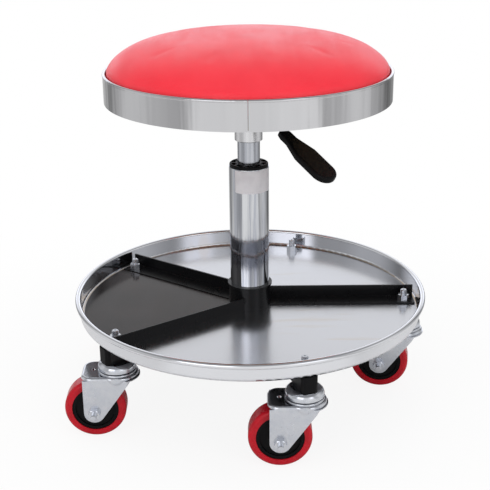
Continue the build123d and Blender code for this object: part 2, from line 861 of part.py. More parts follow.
def axle_fasteners():
    """Axle bolt through the fork, and its nut on the other leg, as two solids."""
    far = fork_half_outer
    head = hex_prism(bolt_flats, far, far + bolt_head_height, ("top",))
    tip = -far - axle_nut_height - axle_tail
    shank = chamfer(tube(axle_radius, 0, tip, far).edges().sort_by(Axis.Z)[0], thread_chamfer)
    nut = hex_prism(bolt_flats, -far - axle_nut_height, -far, ("top", "bottom"))
    nut -= tube(axle_radius, 0, tip, cut_over - far)
    return [across_axle(head + shank), across_axle(nut)]


def build_base():
    step = 360 / caster_count
    save("base_arms", *around(base_arm()))
    save("arm_end_plugs", *around(arm_plug()))
    save("hub_sleeve", hub_sleeve())
    save("tray", tray())
    save("tray_dividers", divider(False), Rot(0, 0, 2 * step) * divider(True),
         Rot(0, 0, 3 * step) * divider(False))
    save("tray_mat", tray_mat(2 * step, 3 * step))
    save("column_tube", column_tube())
    save("guide_bush", guide_bush())
    save("thrust_washer_lower", tube(thrust_washer_radius, rod_radius + thrust_washer_bore_gap,
                                     thrust_floor, thrust_floor + thrust_washer_sheet))
    save("thrust_cage", thrust_cage())
    save("thrust_balls", *ball_ring(thrust_ball_radius, thrust_ball_circle, thrust_ball_height,
                                    thrust_ball_count))
    cups, stems, balls = [], [], []
    race_top = fork_top + race_boss_rise
    ball_height = race_top + (arm_bottom - cup_sheet - race_top) / 2
    for place in stem_places():
        cups.append(place * bearing_cup())
        stems.append(place * stem())
        balls += [place * ball for ball in ball_ring(swivel_ball_radius, swivel_ball_circle,
                                                     ball_height, swivel_ball_count)]
    save("caster_cups", *cups)
    save("caster_stems", *stems)
    save("caster_balls", *balls)
    nuts = []
    for index, arm in enumerate(around(Pos(caster_circle_radius, 0, 0))):
        nuts.append(arm * stem_nut(index in (0, 2, 3)))
    save("stem_nuts", *nuts)


def build_rod():
    save("piston_rod", piston_rod())
    save("piston", piston())
    save("thrust_washer_upper", tube(thrust_washer_radius, rod_radius, upper_washer_bottom,
                                     collar_bottom))
    save("rubber_buffer", tube(buffer_radius, rod_radius, buffer_bottom,
                               buffer_bottom + buffer_height))
    clip_top = column_bottom - soft_gap
    save("rod_clip", tube(rod_clip_radius, rod_radius, clip_top - rod_clip_sheet, clip_top))


def build_seat():
    save("gas_cylinder", tube(cylinder_radius, cylinder_bore, cylinder_bottom, cylinder_top))
    save("rod_gland", tube(cylinder_bore, rod_radius + running_gap, cylinder_bottom,
                           cylinder_bottom + gland_height))
    save("valve_body", tube(cylinder_bore, valve_pin_radius + running_gap,
                            cylinder_top - valve_body_height, cylinder_top))
    save("valve_pin", valve_pin())
    save("seat_socket", seat_socket())
    save("seat_plate", seat_plate())
    save("lever_ears", *[along_lever(ear) for ear in lever_ears()])
    save("lever_pin", along_lever(lever_pin()))
    arm = lever_arm()
    save("lever_arm", along_lever(arm))
    save("lever_paddle", along_lever(lever_paddle(arm)))
    save("seat_screws", *[Pos(x, y, 0) * seat_screw() for x, y in screw_places()])
    save("seat_board", seat_board())
    save("seat_foam", seat_foam())
    save("seat_cover", seat_cover())
    save("seat_band", seat_band())


def build_casters():
    for index, place in enumerate(stem_places()):
        save(f"caster_{index}_fork", place * fork())
        save(f"caster_{index}_axle_sleeve", place * axle_sleeve())
        save(f"caster_{index}_axle_bolt_and_nut", *[place * piece for piece in axle_fasteners()])
        save(f"caster_{index}_wheel_core", place * wheel_core())
        save(f"caster_{index}_tyre", place * tyre())


os.makedirs("parts", exist_ok=True)
build_base()
build_rod()
build_seat()
build_casters()
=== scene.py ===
# %% [markdown]
# # Rolling workshop stool
#
# A mechanic sits on this stool and rolls it around a car. A padded red seat turns and
# rises on a gas spring, and a round chrome tray holds tools at ankle height. Five casters
# carry it.
#
# The hard parts come from the CAD model, already in place and in metres. This lesson adds
# what CAD leaves plain: the soft seat, the small repeated details, and above all the
# finishes. We start by loading the model.

# %% Load the CAD model
import math

import bmesh
import bpy
from mathutils import Matrix, Vector
from mathutils.bvhtree import BVHTree


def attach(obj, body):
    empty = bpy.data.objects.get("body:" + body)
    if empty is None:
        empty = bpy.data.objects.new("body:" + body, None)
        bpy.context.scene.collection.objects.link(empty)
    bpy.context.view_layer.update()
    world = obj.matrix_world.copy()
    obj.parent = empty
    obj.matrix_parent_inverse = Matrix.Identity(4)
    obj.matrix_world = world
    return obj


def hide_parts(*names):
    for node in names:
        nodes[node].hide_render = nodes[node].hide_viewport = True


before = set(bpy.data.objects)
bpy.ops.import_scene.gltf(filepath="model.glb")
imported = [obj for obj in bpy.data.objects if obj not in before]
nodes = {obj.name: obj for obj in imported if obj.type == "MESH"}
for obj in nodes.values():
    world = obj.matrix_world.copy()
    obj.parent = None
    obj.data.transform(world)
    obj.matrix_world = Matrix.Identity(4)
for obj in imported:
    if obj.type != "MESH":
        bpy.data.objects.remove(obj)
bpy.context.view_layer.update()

# %% [markdown]
# ## The sizes that we share with the CAD model
#
# A few heights and radii of the stool are needed again and again, so they get names here.
# They are in metres, and `mm` keeps them readable.

# %% Shared sizes
mm = 0.001
arm_count = 5
caster_circle = 200 * mm
tray_floor = 120 * mm
tray_corner = 216 * mm
column_radius = 25 * mm
sleeve_radius = 27 * mm
board_bottom = 393.7 * mm
board_top = 405.7 * mm
band_top = 427.5 * mm
crown_top = 469.5 * mm
print("seat crown at", crown_top, "m")

# %% [markdown]
# ## Camera
#
# The photograph was taken from a standing photographer's side of the stool: a fairly long
# lens, a bit over a metre away, looking down by twenty degrees. A long lens keeps the
# ellipses of tray and seat calm. We place the camera first, because everything that
# follows is judged through it.

# %% Camera
camera_data = bpy.data.cameras.new("camera")
camera_data.lens = 76.31
camera_data.sensor_width = 36
camera_data.clip_start = 0.01
camera = bpy.data.objects.new("camera", camera_data)
bpy.context.scene.collection.objects.link(camera)
turn = Matrix.Rotation(math.radians(0.38), 4, "Z")
tilt = Matrix.Rotation(math.radians(69.511), 4, "X")
roll = Matrix.Rotation(math.radians(-0.638), 4, "Z")
stand_point = (0.0024, -1.2469, 0.6660)
camera.matrix_world = Matrix.Translation(stand_point) @ turn @ tilt @ roll
bpy.context.scene.camera = camera
bpy.context.scene.view_settings.view_transform = "Standard"
print("camera distance to the column:", round(camera.location.length, 3))

# %% [markdown]
# ## Helpers for node trees
#
# Every finish below is a small graph of nodes. `add_node` adds a node, fills its sockets
# with values and joins sockets that it is given. The other helpers each stand for one kind
# of node that is used again and again, and return its output socket.


# %% Node helpers
def add_node(tree, kind, settings=None, **values):
    """Add a node; settings are its properties, values are its input sockets."""
    node = tree.nodes.new(kind)
    for name, value in (settings or {}).items():
        setattr(node, name, value)
    for name, value in values.items():
        socket = node.inputs[name.replace("_", " ")] if name[0] != "i" else node.inputs[int(name[1:])]
        if isinstance(value, bpy.types.NodeSocket):
            tree.links.new(value, socket)
        else:
            socket.default_value = value
    return node


def calculate(tree, operation, first, second=0.0, third=0.0):
    """A Math node."""
    settings = {"operation": operation}
    return add_node(tree, "ShaderNodeMath", settings, i0=first, i1=second, i2=third).outputs[0]


def remap(tree, value, low, high, to_low=0.0, to_high=1.0):
    """A Map Range node that eases between its ends."""
    settings = {"interpolation_type": "SMOOTHSTEP"}
    node = add_node(tree, "ShaderNodeMapRange", settings, i0=value, i1=low, i2=high, i3=to_low, i4=to_high)
    return node.outputs[0]


def stretch(tree, vector, scale):
    """A vector multiplied by a scale."""
    settings = {"operation": "MULTIPLY"}
    return add_node(tree, "ShaderNodeVectorMath", settings, i0=vector, i1=scale).outputs[0]


def length_of(tree, vector):
    """The length of a vector."""
    return add_node(tree, "ShaderNodeVectorMath", {"operation": "LENGTH"}, i0=vector).outputs["Value"]


def split(tree, vector):
    """The three parts of a vector, as output sockets."""
    return add_node(tree, "ShaderNodeSeparateXYZ", Vector=vector).outputs


def join(tree, **parts):
    """A vector from its parts X, Y and Z."""
    return add_node(tree, "ShaderNodeCombineXYZ", **parts).outputs[0]


def upward(tree):
    """How far a surface faces up, from -1 to 1."""
    return split(tree, add_node(tree, "ShaderNodeNewGeometry").outputs["Normal"])[2]


def noise(tree, vector, scale, detail=2.0, roughness=0.5):
    """A Noise Texture; returns its value."""
    node = add_node(tree, "ShaderNodeTexNoise", Vector=vector, Scale=scale, Detail=detail,
                    Roughness=roughness)
    return node.outputs["Fac"]


def blend_colours(tree, factor, first, second):
    """A Mix node for colours; returns its colour."""
    node = add_node(tree, "ShaderNodeMix", {"data_type": "RGBA"}, i0=factor, i6=first, i7=second)
    return node.outputs[2]


def add_object(name, data):
    """An object for a mesh or a lamp, placed in the scene."""
    thing = bpy.data.objects.new(name, data)
    bpy.context.scene.collection.objects.link(thing)
    return thing


def smooth(mesh):
    """Shade every face of a mesh smooth."""
    for face in mesh.polygons:
        face.use_smooth = True


print("helpers ready")

# %% [markdown]
# ## Studio
#
# The stool stands in a white studio. Polished metal has no colour of its own: it shows the
# room. So the room gets the soft dark and light patches that the seat band reflects in the
# photograph, arranged by compass direction, a white backdrop behind that is brighter low
# down, and two large soft boxes in front. Only shiny surfaces see them; the camera sees
# plain white, and dull surfaces get even light.

# %% Greys of the room by compass direction
room_greys = [
    (-180, 0.80), (-162, 0.60), (-150, 0.58), (-138, 0.52), (-128, 0.97), (-114, 1.0),
    (-102, 0.95), (-90, 0.90), (-78, 0.92), (-66, 1.0), (-42, 0.98), (-33, 0.50), (-18, 0.68),
    (-6, 0.86), (6, 0.80), (18, 0.58), (30, 0.46), (42, 0.16), (54, 0.20), (66, 0.42),
    (78, 0.58), (102, 0.68), (114, 0.62), (126, 0.44), (138, 0.24), (150, 0.50), (164, 0.76),
]


def fill_ramp(ramp, stops):
    """Set a colour ramp's stops to greys."""
    while len(ramp.elements) > 1:
        ramp.elements.remove(ramp.elements[-1])
    for number, (place, grey) in enumerate(stops):
        stop = ramp.elements[0] if number == 0 else ramp.elements.new(place)
        stop.position = place
        stop.color = (grey, grey, grey, 1)


def compass_greys(tree, vector):
    """The room's grey in the compass direction of a vector; returns (grey, compass, height)."""
    parts = split(tree, vector)
    compass = calculate(tree, "ARCTAN2", parts[1], parts[0])
    compass = calculate(tree, "MULTIPLY_ADD", compass, 0.5 / math.pi, 0.5)
    around = add_node(tree, "ShaderNodeValToRGB", Fac=compass)
    fill_ramp(around.color_ramp, [((angle + 180) / 360, grey) for angle, grey in room_greys])
    return around.outputs["Color"], compass, parts[2]


def patch(tree, compass, height, left, right, low, high, edge=0.02):
    """A soft-edged mask between two compass angles in degrees and two heights."""
    start, end = (left + 180) / 360, (right + 180) / 360
    sides = calculate(tree, "MULTIPLY", remap(tree, compass, start, start + edge),
                      remap(tree, compass, end - edge, end, 1.0, 0.0))
    levels = calculate(tree, "MULTIPLY", remap(tree, height, low, low + edge),
                       remap(tree, height, high - edge, high, 1.0, 0.0))
    return calculate(tree, "MULTIPLY", sides, levels)


print("room greys:", len(room_greys))

# %% World light
world = bpy.data.worlds.new("studio")
world.use_nodes = True
bpy.context.scene.world = world
tree = world.node_tree
tree.nodes.clear()
direction = add_node(tree, "ShaderNodeTexCoord").outputs["Generated"]
room, compass, height = compass_greys(tree, direction)
ceiling = remap(tree, height, 0.45, 0.75)
room = blend_colours(tree, ceiling, room, (0.34, 0.34, 0.35, 1))
backdrop = patch(tree, compass, height, 38, 142, -0.06, 0.86, 0.08)
paler = remap(tree, height, 0.29, 0.39)
sheet = blend_colours(tree, paler, (1.34, 1.37, 1.48, 1), (0.90, 0.90, 0.91, 1))
room = blend_colours(tree, backdrop, room, sheet)
left_box = patch(tree, compass, height, -140, -96, 0.16, 0.60)
right_box = patch(tree, compass, height, -66, -38, 0.16, 0.60)
room = blend_colours(tree, left_box, room, (2.0, 2.0, 2.05, 1))
room = blend_colours(tree, right_box, room, (1.5, 1.5, 1.55, 1))
path = add_node(tree, "ShaderNodeLightPath").outputs
shiny = calculate(tree, "MAXIMUM", path["Is Glossy Ray"], path["Is Transmission Ray"])
even_light = add_node(tree, "ShaderNodeBackground", Color=(1, 1, 1, 1), Strength=0.80)
seen_room = add_node(tree, "ShaderNodeBackground", Color=room, Strength=1.0)
white = add_node(tree, "ShaderNodeBackground", Color=(1, 1, 1, 1), Strength=1.0)
first = add_node(tree, "ShaderNodeMixShader", i0=shiny, i1=even_light.outputs[0],
                 i2=seen_room.outputs[0])
second = add_node(tree, "ShaderNodeMixShader", i0=path["Is Camera Ray"], i1=first.outputs[0],
                  i2=white.outputs[0])
add_node(tree, "ShaderNodeOutputWorld", Surface=second.outputs[0])
print("world ready")


# %% Lamps
def soft_lamp(name, place, aim, size, power):
    """A square area lamp at a place, turned to a point; shiny surfaces don't show it."""
    data = bpy.data.lights.new(name, "AREA")
    data.size = size
    data.energy = power
    lamp = add_object(name, data)
    facing = (Vector(aim) - Vector(place)).to_track_quat("-Z", "Y")
    lamp.matrix_world = Matrix.Translation(place) @ facing.to_matrix().to_4x4()
    lamp.visible_glossy = False


soft_lamp("overhead_lamp", (-0.1, -0.5, 2.2), (0, 0, 0.2), 1.8, 8)
soft_lamp("left_lamp", (-1.3, -1.9, 1.1), (0, 0, 0.3), 1.2, 9)
soft_lamp("right_lamp", (1.5, -1.7, 1.1), (0, 0, 0.3), 1.2, 8)
print("lamps ready")

# %% [markdown]
# ## Floor
#
# The floor is white paper. For the camera it glows, so that it stays white, and fully so
# away from the stool; what is left over keeps a soft shadow. Shiny surfaces see the true
# floor close by, dark where the stool shades it, and the room's greys further out.

# %% Floor, 24 m square
floor_mesh = bpy.data.meshes.new("floor")
half = 12
floor_mesh.from_pydata([(-half, -half, 0), (half, -half, 0), (half, half, 0), (-half, half, 0)],
                       [], [(0, 1, 2, 3)])
floor = add_object("floor", floor_mesh)
paper = bpy.data.materials.new("white_paper")
paper.use_nodes = True
tree = paper.node_tree
tree.nodes.clear()
place = add_node(tree, "ShaderNodeTexCoord").outputs["Object"]
grey, _, _ = compass_greys(tree, place)
far = length_of(tree, place)
path = add_node(tree, "ShaderNodeLightPath").outputs
matt = add_node(tree, "ShaderNodeBsdfDiffuse", Color=(0.86, 0.86, 0.86, 1))
glow = add_node(tree, "ShaderNodeEmission", Color=(1, 1, 1, 1), Strength=1.0)
room_glow = add_node(tree, "ShaderNodeEmission", Color=grey, Strength=1.0)
shiny = calculate(tree, "MAXIMUM", path["Is Glossy Ray"], path["Is Transmission Ray"])
for_shiny = calculate(tree, "MULTIPLY", shiny, remap(tree, far, 0.30, 0.75))
for_camera = calculate(tree, "MULTIPLY", path["Is Camera Ray"], remap(tree, far, 0.20, 0.75, 0.89, 1.0))
lit = add_node(tree, "ShaderNodeMixShader", i0=for_shiny, i1=matt.outputs[0], i2=room_glow.outputs[0])
lit = add_node(tree, "ShaderNodeMixShader", i0=for_camera, i1=lit.outputs[0], i2=glow.outputs[0])
add_node(tree, "ShaderNodeOutputMaterial", Surface=lit.outputs[0])
floor_mesh.materials.append(paper)
print("floor ready")

# %% [markdown]
# ## Effects that finishes share
#
# Real surfaces are never even: fingers leave wipe marks, plating has a grain, tools leave
# hair scratches, and paint wears thin on edges. Each effect is a node group, built once,
# with sockets for its sizes. A group gives back only masks and heights; the shader that
# uses them stays in each material, where it is easy to see.


# %% A helper for node groups
def new_group(name, inputs, outputs):
    """An empty shader node group; inputs and outputs are (name, kind, default)."""
    group = bpy.data.node_groups.new(name, "ShaderNodeTree")
    kinds = {"value": "NodeSocketFloat", "vector": "NodeSocketVector"}
    for socket_name, kind, default in inputs:
        socket = group.interface.new_socket(socket_name, in_out="INPUT", socket_type=kinds[kind])
        socket.default_value = default
    for socket_name in outputs:
        group.interface.new_socket(socket_name, in_out="OUTPUT", socket_type="NodeSocketFloat")
    return group, add_node(group, "NodeGroupInput").outputs, add_node(group, "NodeGroupOutput").inputs


def use_group(tree, group, **values):
    """Place a group in a material; returns its outputs."""
    return add_node(tree, "ShaderNodeGroup", {"node_tree": group}, **values).outputs


# %% Wipe marks: broad soft patches
wipe_marks, given, gives = new_group(
    "wipe_marks",
    [("Vector", "vector", (0, 0, 0)), ("Scale", "value", 12.0), ("Low", "value", 0.05),
     ("High", "value", 0.15)],
    ["Value"],
)
swept = stretch(wipe_marks, given["Vector"], (1.0, 0.45, 0.7))
cloud = noise(wipe_marks, swept, given["Scale"], 4.0, 0.55)
streak = noise(wipe_marks, stretch(wipe_marks, given["Vector"], (4.0, 0.6, 1.0)), given["Scale"], 2.0)
both = calculate(wipe_marks, "MULTIPLY_ADD", cloud, 0.7, calculate(wipe_marks, "MULTIPLY", streak, 0.3))
eased = remap(wipe_marks, both, 0.35, 0.65, given["Low"], given["High"])
wipe_marks.links.new(eased, gives["Value"])
print("wipe marks ready")

# %% Grain: fine even roughness of plating, paint or moulded plastic
fine_grain, given, gives = new_group(
    "fine_grain",
    [("Vector", "vector", (0, 0, 0)), ("Scale", "value", 900.0)],
    ["Height"],
)
coarse = noise(fine_grain, given["Vector"], given["Scale"], 3.0, 0.6)
fine_grain.links.new(calculate(fine_grain, "SUBTRACT", coarse, 0.5), gives["Height"])
print("grain ready")

# %% Brushed lines: a noise that is pulled out along one direction
brushed_lines, given, gives = new_group(
    "brushed_lines",
    [("Vector", "vector", (0, 0, 0)), ("Along", "vector", (1, 1, 1)), ("Low", "value", 0.1),
     ("High", "value", 0.2)],
    ["Height", "Roughness"],
)
pulled = stretch(brushed_lines, given["Vector"], given["Along"])
lines = noise(brushed_lines, pulled, 1.0, 3.0, 0.65)
brushed_lines.links.new(lines, gives["Height"])
brushed_lines.links.new(remap(brushed_lines, lines, 0.3, 0.7, given["Low"], given["High"]),
                        gives["Roughness"])
print("brushed lines ready")

# %% Hair scratches: thin lines in three directions
hair_scratches, given, gives = new_group(
    "hair_scratches",
    [("Vector", "vector", (0, 0, 0)), ("Scale", "value", 30.0), ("Amount", "value", 0.5)],
    ["Mask"],
)
total = None
for angle, offset in ((0.35, 3.1), (1.5, 7.7), (2.5, 11.3)):
    laid = add_node(hair_scratches, "ShaderNodeMapping", Vector=given["Vector"],
                    Location=(offset, -offset, 0), Rotation=(0, 0, angle))
    thin = stretch(hair_scratches, laid.outputs[0], (40.0, 1.0, 8.0))
    field = noise(hair_scratches, thin, given["Scale"], 2.0, 0.5)
    line = remap(hair_scratches, field, 0.70, 0.76)
    total = line if total is None else calculate(hair_scratches, "MAXIMUM", total, line)
hair_scratches.links.new(calculate(hair_scratches, "MULTIPLY", total, given["Amount"]), gives["Mask"])
print("hair scratches ready")

# %% Edge wear: paint rubbed thin where an edge stands out
edge_wear, given, gives = new_group(
    "edge_wear",
    [("Vector", "vector", (0, 0, 0)), ("Width", "value", 0.0008), ("Amount", "value", 0.5)],
    ["Mask"],
)
rounded = add_node(edge_wear, "ShaderNodeBevel", {"samples": 4}, Radius=given["Width"]).outputs[0]
flat = add_node(edge_wear, "ShaderNodeNewGeometry").outputs["Normal"]
alike = add_node(edge_wear, "ShaderNodeVectorMath", {"operation": "DOT_PRODUCT"}, i0=rounded,
                 i1=flat).outputs["Value"]
edge = remap(edge_wear, alike, 0.985, 0.80)
patchy = remap(edge_wear, noise(edge_wear, given["Vector"], 260.0, 4.0, 0.7), 0.48, 0.66)
worn = calculate(edge_wear, "MULTIPLY", calculate(edge_wear, "MULTIPLY", edge, patchy), given["Amount"])
edge_wear.links.new(worn, gives["Mask"])
print("edge wear ready")

# %% Settled dust: a pale film on what faces up
settled_dust, given, gives = new_group(
    "settled_dust",
    [("Vector", "vector", (0, 0, 0)), ("Amount", "value", 0.3)],
    ["Mask"],
)
lying = remap(settled_dust, upward(settled_dust), 0.3, 0.95)
specks = remap(settled_dust, noise(settled_dust, given["Vector"], 420.0, 3.0, 0.7), 0.5, 0.75)
film = noise(settled_dust, given["Vector"], 18.0, 3.0, 0.5)
dust = calculate(settled_dust, "MULTIPLY_ADD", specks, 0.6, calculate(settled_dust, "MULTIPLY", film, 0.4))
dust = calculate(settled_dust, "MULTIPLY", calculate(settled_dust, "MULTIPLY", dust, lying), given["Amount"])
settled_dust.links.new(dust, gives["Mask"])
print("dust ready")

# %% Vinyl grain: the small rounded cells pressed into upholstery vinyl
vinyl_grain, given, gives = new_group(
    "vinyl_grain",
    [("Vector", "vector", (0, 0, 0)), ("Scale", "value", 900.0)],
    ["Height"],
)
bent = add_node(vinyl_grain, "ShaderNodeTexNoise", Vector=given["Vector"], Scale=500.0)
bent = add_node(vinyl_grain, "ShaderNodeVectorMath", {"operation": "MULTIPLY_ADD"},
                i0=bent.outputs["Color"], i1=(0.0006, 0.0006, 0.0006), i2=given["Vector"]).outputs[0]
cells = add_node(vinyl_grain, "ShaderNodeTexVoronoi", {"feature": "DISTANCE_TO_EDGE"}, Vector=bent,
                 Scale=given["Scale"]).outputs["Distance"]
pillow = remap(vinyl_grain, cells, 0.0, 0.28)
vinyl_grain.links.new(pillow, gives["Height"])
print("vinyl grain ready")

# %% [markdown]
# ## Finishes
#
# Each finish is one Principled shader. The numbers that are the same all over it, such as
# metallic or coat, are typed into the shader; colour, roughness and bump come from the
# effects above. `start_finish` makes the empty material and gives it back with the three
# things that every finish needs: its tree, its shader and its object coordinates.


# %% A helper that starts a finish
def start_finish(name, **constants):
    """A material with one Principled shader; returns (material, tree, shader, coordinates)."""
    material = bpy.data.materials.new(name)
    material.use_nodes = True
    tree = material.node_tree
    tree.nodes.clear()
    shader = add_node(tree, "ShaderNodeBsdfPrincipled")
    for socket_name, value in constants.items():
        shader.inputs[socket_name.replace("_", " ")].default_value = value
    add_node(tree, "ShaderNodeOutputMaterial", Surface=shader.outputs[0])
    place = add_node(tree, "ShaderNodeTexCoord").outputs["Object"]
    return material, tree, shader, place


def emboss(tree, shader, height, distance):
    """Feed a height into the shader's normal as a bump of that depth in metres."""
    bump = add_node(tree, "ShaderNodeBump", Strength=1.0, Distance=distance, Height=height)
    tree.links.new(bump.outputs[0], shader.inputs["Normal"])


def around_axis(tree, place, around_scale, up_scale):
    """Coordinates that wrap around the vertical axis, for turned and rolled parts."""
    parts = split(tree, place)
    flat = join(tree, X=parts[0], Y=parts[1])
    facing = add_node(tree, "ShaderNodeVectorMath", {"operation": "NORMALIZE"}, i0=flat).outputs[0]
    parted = split(tree, facing)
    across = calculate(tree, "MULTIPLY", parted[0], around_scale)
    along = calculate(tree, "MULTIPLY", parted[1], around_scale)
    up = calculate(tree, "MULTIPLY", parts[2], up_scale)
    return join(tree, X=across, Y=along, Z=up)


def connect(tree, shader, colour, roughness):
    """Feed the shader's colour and roughness."""
    tree.links.new(colour, shader.inputs["Base Color"])
    tree.links.new(roughness, shader.inputs["Roughness"])


def follow_turning(tree, shader):
    """Stretch the shader's highlights around the vertical axis, as on turned metal."""
    radial = add_node(tree, "ShaderNodeTangent", {"direction_type": "RADIAL", "axis": "Z"}).outputs[0]
    tree.links.new(radial, shader.inputs["Tangent"])


finishes = {}

# %% Tray chrome
# The pan is a mirror with a stained line in its corner. Its outer wall gets a paler tint, a
# painted reflection of the bright floor in front, and its rougher underside a dark tint,
# which is painted shade from beneath the tray. Distances from the axis and heights above the
# ground tell them apart.
material, tree, shader, place = start_finish("tray_chrome", Metallic=1.0)
wiped = use_group(tree, wipe_marks, Vector=place, Scale=9.0, Low=0.09, High=0.13)["Value"]
scratched = use_group(tree, hair_scratches, Vector=place, Scale=9.0, Amount=0.05)["Mask"]
parts = split(tree, place)
ring = length_of(tree, join(tree, X=parts[0], Y=parts[1]))
near = calculate(tree, "ABSOLUTE", calculate(tree, "SUBTRACT", ring, tray_corner))
corner = remap(tree, near, 1.6 * mm, 0.4 * mm)
low = remap(tree, parts[2], tray_floor + 3 * mm, tray_floor + 1.5 * mm)
inside = calculate(tree, "GREATER_THAN", parts[2], tray_floor - 1 * mm)
dull = calculate(tree, "MULTIPLY", remap(tree, parts[2], tray_floor + 6 * mm, tray_floor, 0.0, 0.10), inside)
rough = calculate(tree, "ADD", calculate(tree, "ADD", wiped, scratched), dull)
beyond = calculate(tree, "GREATER_THAN", ring, tray_corner + 2.6 * mm)
bend = remap(tree, parts[2], tray_floor + 4 * mm, tray_floor + 1 * mm)
edge_below = calculate(tree, "MULTIPLY", beyond, bend)
below = calculate(tree, "SUBTRACT", 1.0, inside)
rough = calculate(tree, "MULTIPLY_ADD", calculate(tree, "MAXIMUM", below, edge_below), 0.25, rough)
broken = remap(tree, noise(tree, place, 60.0, 4.0, 0.6), 0.3, 0.6, 0.25, 0.9)
stain = calculate(tree, "MULTIPLY", calculate(tree, "MULTIPLY", corner, low), inside)
stain = calculate(tree, "MULTIPLY", stain, broken)
tint = blend_colours(tree, stain, (0.63, 0.64, 0.67, 1), (0.44, 0.34, 0.23, 1))
smear = remap(tree, noise(tree, stretch(tree, place, (1.0, 7.0, 1.0)), 7.0, 3.0, 0.55), 0.60, 0.74, 0.0, 0.35)
smear = calculate(tree, "MULTIPLY", smear, inside)
tint = blend_colours(tree, smear, tint, (0.60, 0.54, 0.47, 1))
# Painted reflection: the outer wall is tinted paler than the pan, standing in for the bright floor it
# reflects.
tint = blend_colours(tree, beyond, tint, (0.74, 0.75, 0.78, 1))
# Painted shade: the underside is tinted dark, standing in for the shade beneath the tray.
tint = blend_colours(tree, below, tint, (0.26, 0.26, 0.27, 1))
connect(tree, shader, tint, rough)
waves = noise(tree, place, 22.0, 1.0, 0.4)
emboss(tree, shader, waves, 0.12 * mm)
finishes["tray_chrome"] = material

# %% Column chrome
material, tree, shader, place = start_finish("column_chrome", Metallic=1.0)
wrapped = around_axis(tree, place, 3.0, 900.0)
turned_lines = use_group(tree, brushed_lines, Vector=wrapped, Along=(1, 1, 1), Low=0.035, High=0.075)
wiped = use_group(tree, wipe_marks, Vector=place, Scale=30.0, Low=0.0, High=0.03)["Value"]
rough = calculate(tree, "ADD", turned_lines["Roughness"], wiped)
upright = noise(tree, around_axis(tree, place, 6.0, 9.0), 1.0, 4.0, 0.6)
tint = blend_colours(tree, remap(tree, upright, 0.38, 0.62), (0.64, 0.65, 0.67, 1), (0.44, 0.455, 0.50, 1))
marks = remap(tree, noise(tree, around_axis(tree, place, 14.0, 30.0), 1.0, 4.0, 0.7), 0.62, 0.75, 0.0, 0.35)
connect(tree, shader, blend_colours(tree, marks, tint, (0.30, 0.30, 0.33, 1)), rough)
waves = noise(tree, around_axis(tree, place, 2.5, 6.0), 1.0, 2.0)
emboss(tree, shader, waves, 0.8 * mm)
finishes["column_chrome"] = material

# %% Black paint
material, tree, shader, place = start_finish(
    "black_paint", Coat_Weight=0.08, Coat_Roughness=0.12, Specular_IOR_Level=0.22)
worn = use_group(tree, edge_wear, Vector=place, Width=0.7 * mm, Amount=0.35)["Mask"]
dusty = use_group(tree, settled_dust, Vector=place, Amount=0.02)["Mask"]
painted = blend_colours(tree, worn, (0.0035, 0.0035, 0.0042, 1), (0.14, 0.14, 0.145, 1))
painted = blend_colours(tree, dusty, painted, (0.30, 0.29, 0.28, 1))
wiped = use_group(tree, wipe_marks, Vector=place, Scale=40.0, Low=0.24, High=0.36)["Value"]
connect(tree, shader, painted, wiped)
peel = use_group(tree, fine_grain, Vector=place, Scale=420.0)["Height"]
emboss(tree, shader, peel, 0.05 * mm)
finishes["black_paint"] = material

# %% Zinc plate
material, tree, shader, place = start_finish("zinc_plate", Metallic=1.0)
patches = add_node(tree, "ShaderNodeTexVoronoi", Vector=place, Scale=420.0).outputs["Color"]
patches = add_node(tree, "ShaderNodeSeparateColor", Color=patches).outputs[0]
clouded = noise(tree, place, 70.0, 4.0, 0.6)
mixed = calculate(tree, "MULTIPLY_ADD", patches, 0.12, calculate(tree, "MULTIPLY", clouded, 0.88))
mixed = remap(tree, mixed, 0.25, 0.75)
tint = blend_colours(tree, mixed, (0.56, 0.585, 0.64, 1), (0.65, 0.665, 0.70, 1))
rough = use_group(tree, wipe_marks, Vector=place, Scale=40.0, Low=0.20, High=0.28)["Value"]
rough = calculate(tree, "SUBTRACT", rough, remap(tree, upward(tree), 0.15, 0.6, 0.0, 0.14))
scratched = use_group(tree, hair_scratches, Vector=place, Scale=20.0, Amount=0.05)["Mask"]
connect(tree, shader, tint, calculate(tree, "ADD", rough, scratched))
grain = use_group(tree, fine_grain, Vector=place, Scale=1500.0)["Height"]
emboss(tree, shader, grain, 0.008 * mm)
finishes["zinc_plate"] = material

# %% Seat band steel
material, tree, shader, place = start_finish("band_steel", Metallic=1.0, Anisotropic=0.35)
wrapped = around_axis(tree, place, 5.0, 1400.0)
rolled = use_group(tree, brushed_lines, Vector=wrapped, Along=(1, 1, 1), Low=0.07, High=0.13)
wiped = use_group(tree, wipe_marks, Vector=place, Scale=14.0, Low=0.0, High=0.04)["Value"]
shade = remap(tree, noise(tree, stretch(tree, place, (1, 1, 0.1)), 30.0, 3.0), 0.3, 0.7)
tint = blend_colours(tree, shade, (0.62, 0.62, 0.635, 1), (0.57, 0.57, 0.585, 1))
connect(tree, shader, tint, calculate(tree, "ADD", rolled["Roughness"], wiped))
follow_turning(tree, shader)
ripple = noise(tree, around_axis(tree, place, 9.0, 3.0), 1.0, 2.0)
emboss(tree, shader, ripple, 1.2 * mm)
finishes["band_steel"] = material


# %% Satin steel
def satin_metal(name, pale, deep, low, high):
    """Turned steel with fine rings and soft upright bands of tone."""
    material, tree, shader, place = start_finish(name, Metallic=1.0, Anisotropic=0.4)
    wrapped = around_axis(tree, place, 4.0, 2200.0)
    rings = use_group(tree, brushed_lines, Vector=wrapped, Along=(1, 1, 1), Low=low, High=high)
    bands = remap(tree, noise(tree, around_axis(tree, place, 5.0, 8.0), 1.0, 3.0), 0.35, 0.65)
    connect(tree, shader, blend_colours(tree, bands, pale, deep), rings["Roughness"])
    follow_turning(tree, shader)
    emboss(tree, shader, rings["Height"], 0.002 * mm)
    return material


